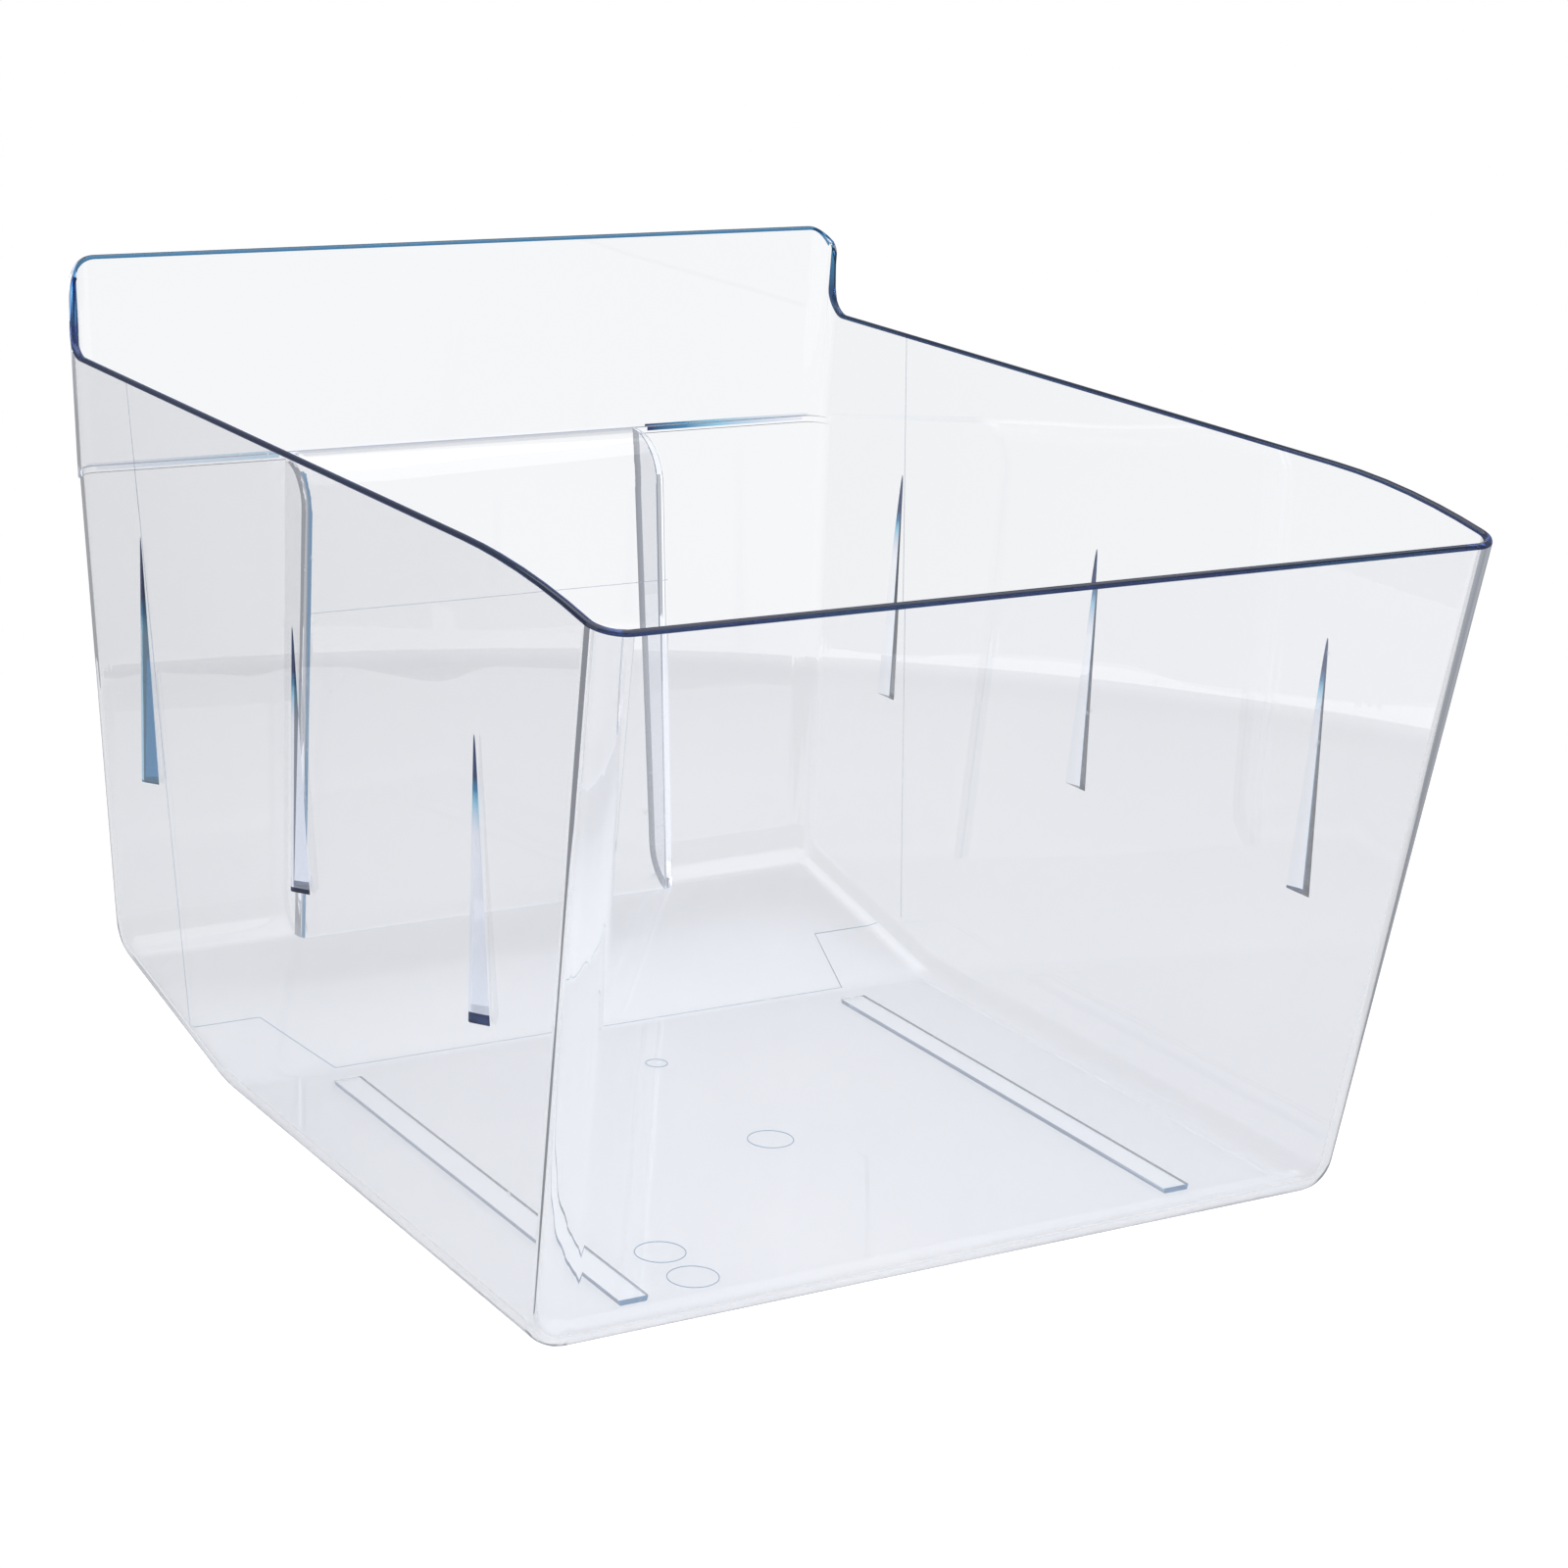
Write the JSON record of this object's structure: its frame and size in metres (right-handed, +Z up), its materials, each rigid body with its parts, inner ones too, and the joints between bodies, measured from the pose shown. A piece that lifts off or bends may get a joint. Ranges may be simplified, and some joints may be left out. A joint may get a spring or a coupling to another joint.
{
  "type": "fridge crisper drawer",
  "caption": "Clear moulded refrigerator drawer: a tapering open tub with a tall back wall, low curved front rim, stacking ribs, a pushed-in back panel and skids under the floor.",
  "frame": {"origin": "centre of the bounding box at its base, level with the underside of the skids", "axes": "+X to the drawer's right seen from its low front, +Y from the low front to the tall back wall, +Z up"},
  "size_m": [0.242, 0.3076, 0.2107],
  "materials": {
    "clear_plastic": "clear, polished"
  },
  "bodies": {
    "root": {"drawer_tub": "clear_plastic"}
  },
  "joints": []
}
